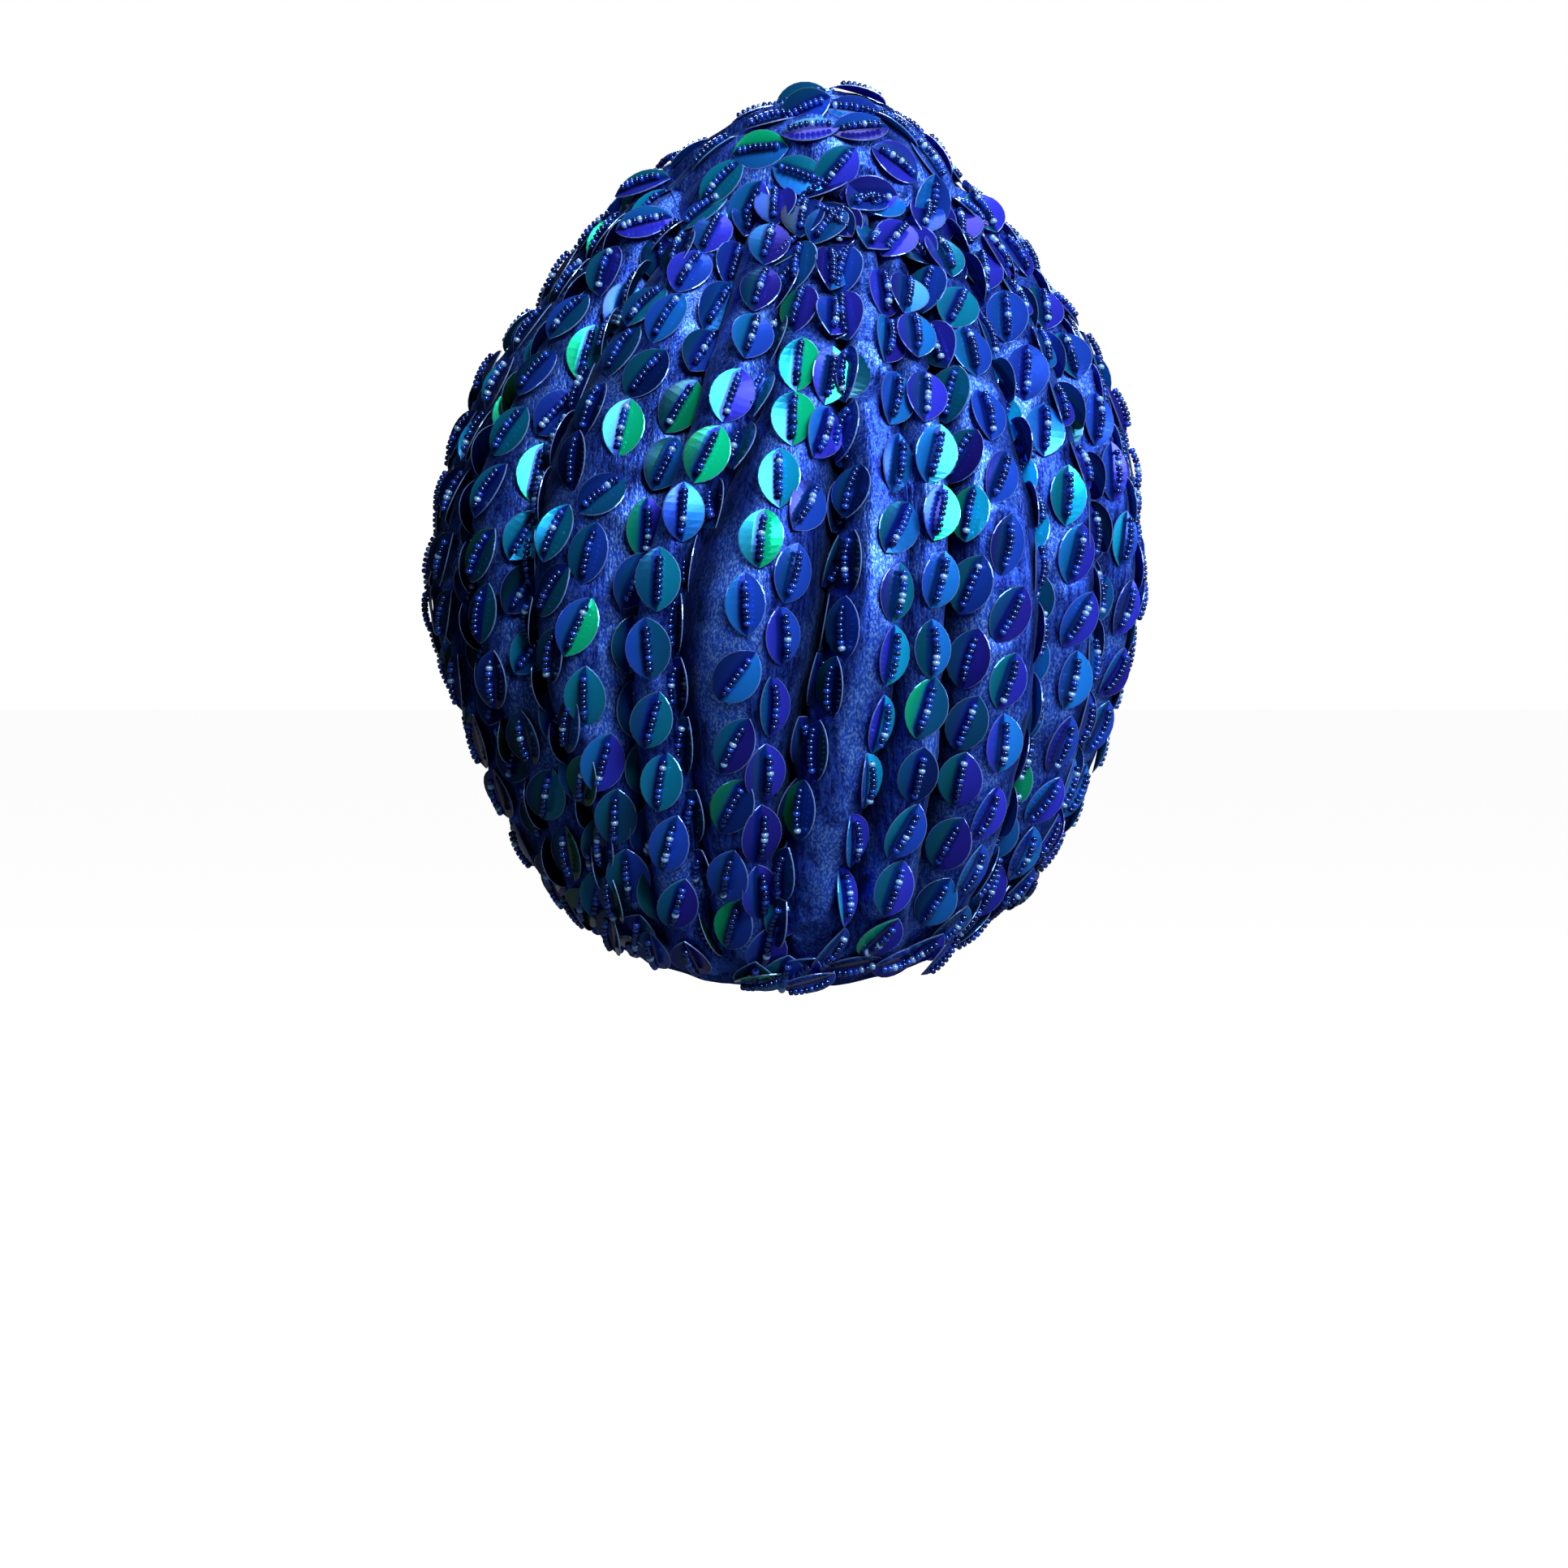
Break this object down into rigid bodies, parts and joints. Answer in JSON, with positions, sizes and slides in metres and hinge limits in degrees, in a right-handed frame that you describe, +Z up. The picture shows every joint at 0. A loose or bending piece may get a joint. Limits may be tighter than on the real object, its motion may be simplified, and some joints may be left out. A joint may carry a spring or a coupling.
{
  "type": "turban hat",
  "caption": "Gathered pull-on turban hat with deep pleats, a plain hem band and a bundle folded over the crown.",
  "frame": {"origin": "centre of the head opening, in the plane of the hem", "axes": "+Z up, +Y the way the wearer faces, +X the wearer's right"},
  "size_m": [0.2374, 0.2627, 0.3007],
  "materials": {
    "velvet": "velvet nap",
    "hem_velvet": "velvet nap",
    "tuck_velvet": "velvet nap"
  },
  "bodies": {
    "root": {"crown": "velvet", "hem_band": "hem_velvet", "top_tuck": "tuck_velvet"}
  },
  "joints": []
}
